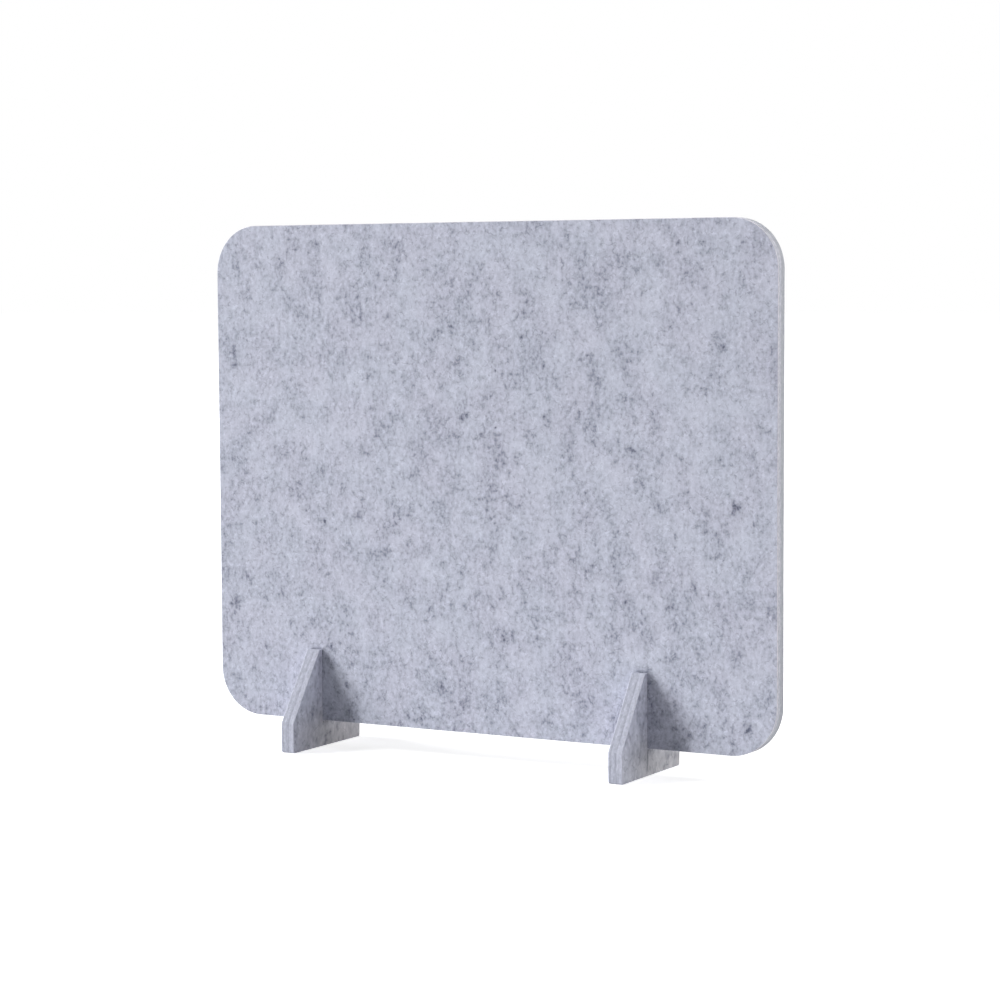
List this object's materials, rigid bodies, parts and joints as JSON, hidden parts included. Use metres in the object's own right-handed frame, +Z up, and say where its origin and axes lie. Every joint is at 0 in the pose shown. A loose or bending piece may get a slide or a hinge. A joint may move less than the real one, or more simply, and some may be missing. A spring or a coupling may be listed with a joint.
{
  "type": "acoustic divider screen",
  "caption": "Free-standing desk divider: a round-cornered pressed felt panel held upright by slotted trapezoid feet of the same board, which pull off its lower edge.",
  "frame": {"origin": "on the table, under the middle of the panel's width and thickness", "axes": "+X along the panel's width, to the right as seen from the front; the front faces -Y; +Z up"},
  "size_m": [0.5, 0.098, 0.421],
  "materials": {
    "panel_felt": "matt pressed polyester felt, pale blue-grey with fine darker fibre mottling",
    "foot_felt": "matt pressed polyester felt as the panel, with knife-cut edges that show faint plies"
  },
  "bodies": {
    "panel": {"panel": "panel_felt"},
    "left_foot": {"left_foot": "foot_felt"},
    "right_foot": {"right_foot": "foot_felt"}
  },
  "joints": [
    {"name": "panel_lift", "type": "slide", "parent": "left_foot", "child": "panel", "axis": [0, 0, 1], "range_m": [0, 0.065]},
    {"name": "right_foot_release", "type": "slide", "parent": "panel", "child": "right_foot", "axis": [0, 0, -1], "range_m": [0, 0.065]}
  ],
  "couplings": [
    {"joint": "right_foot_release", "follows": "panel_lift", "ratio": 1}
  ]
}
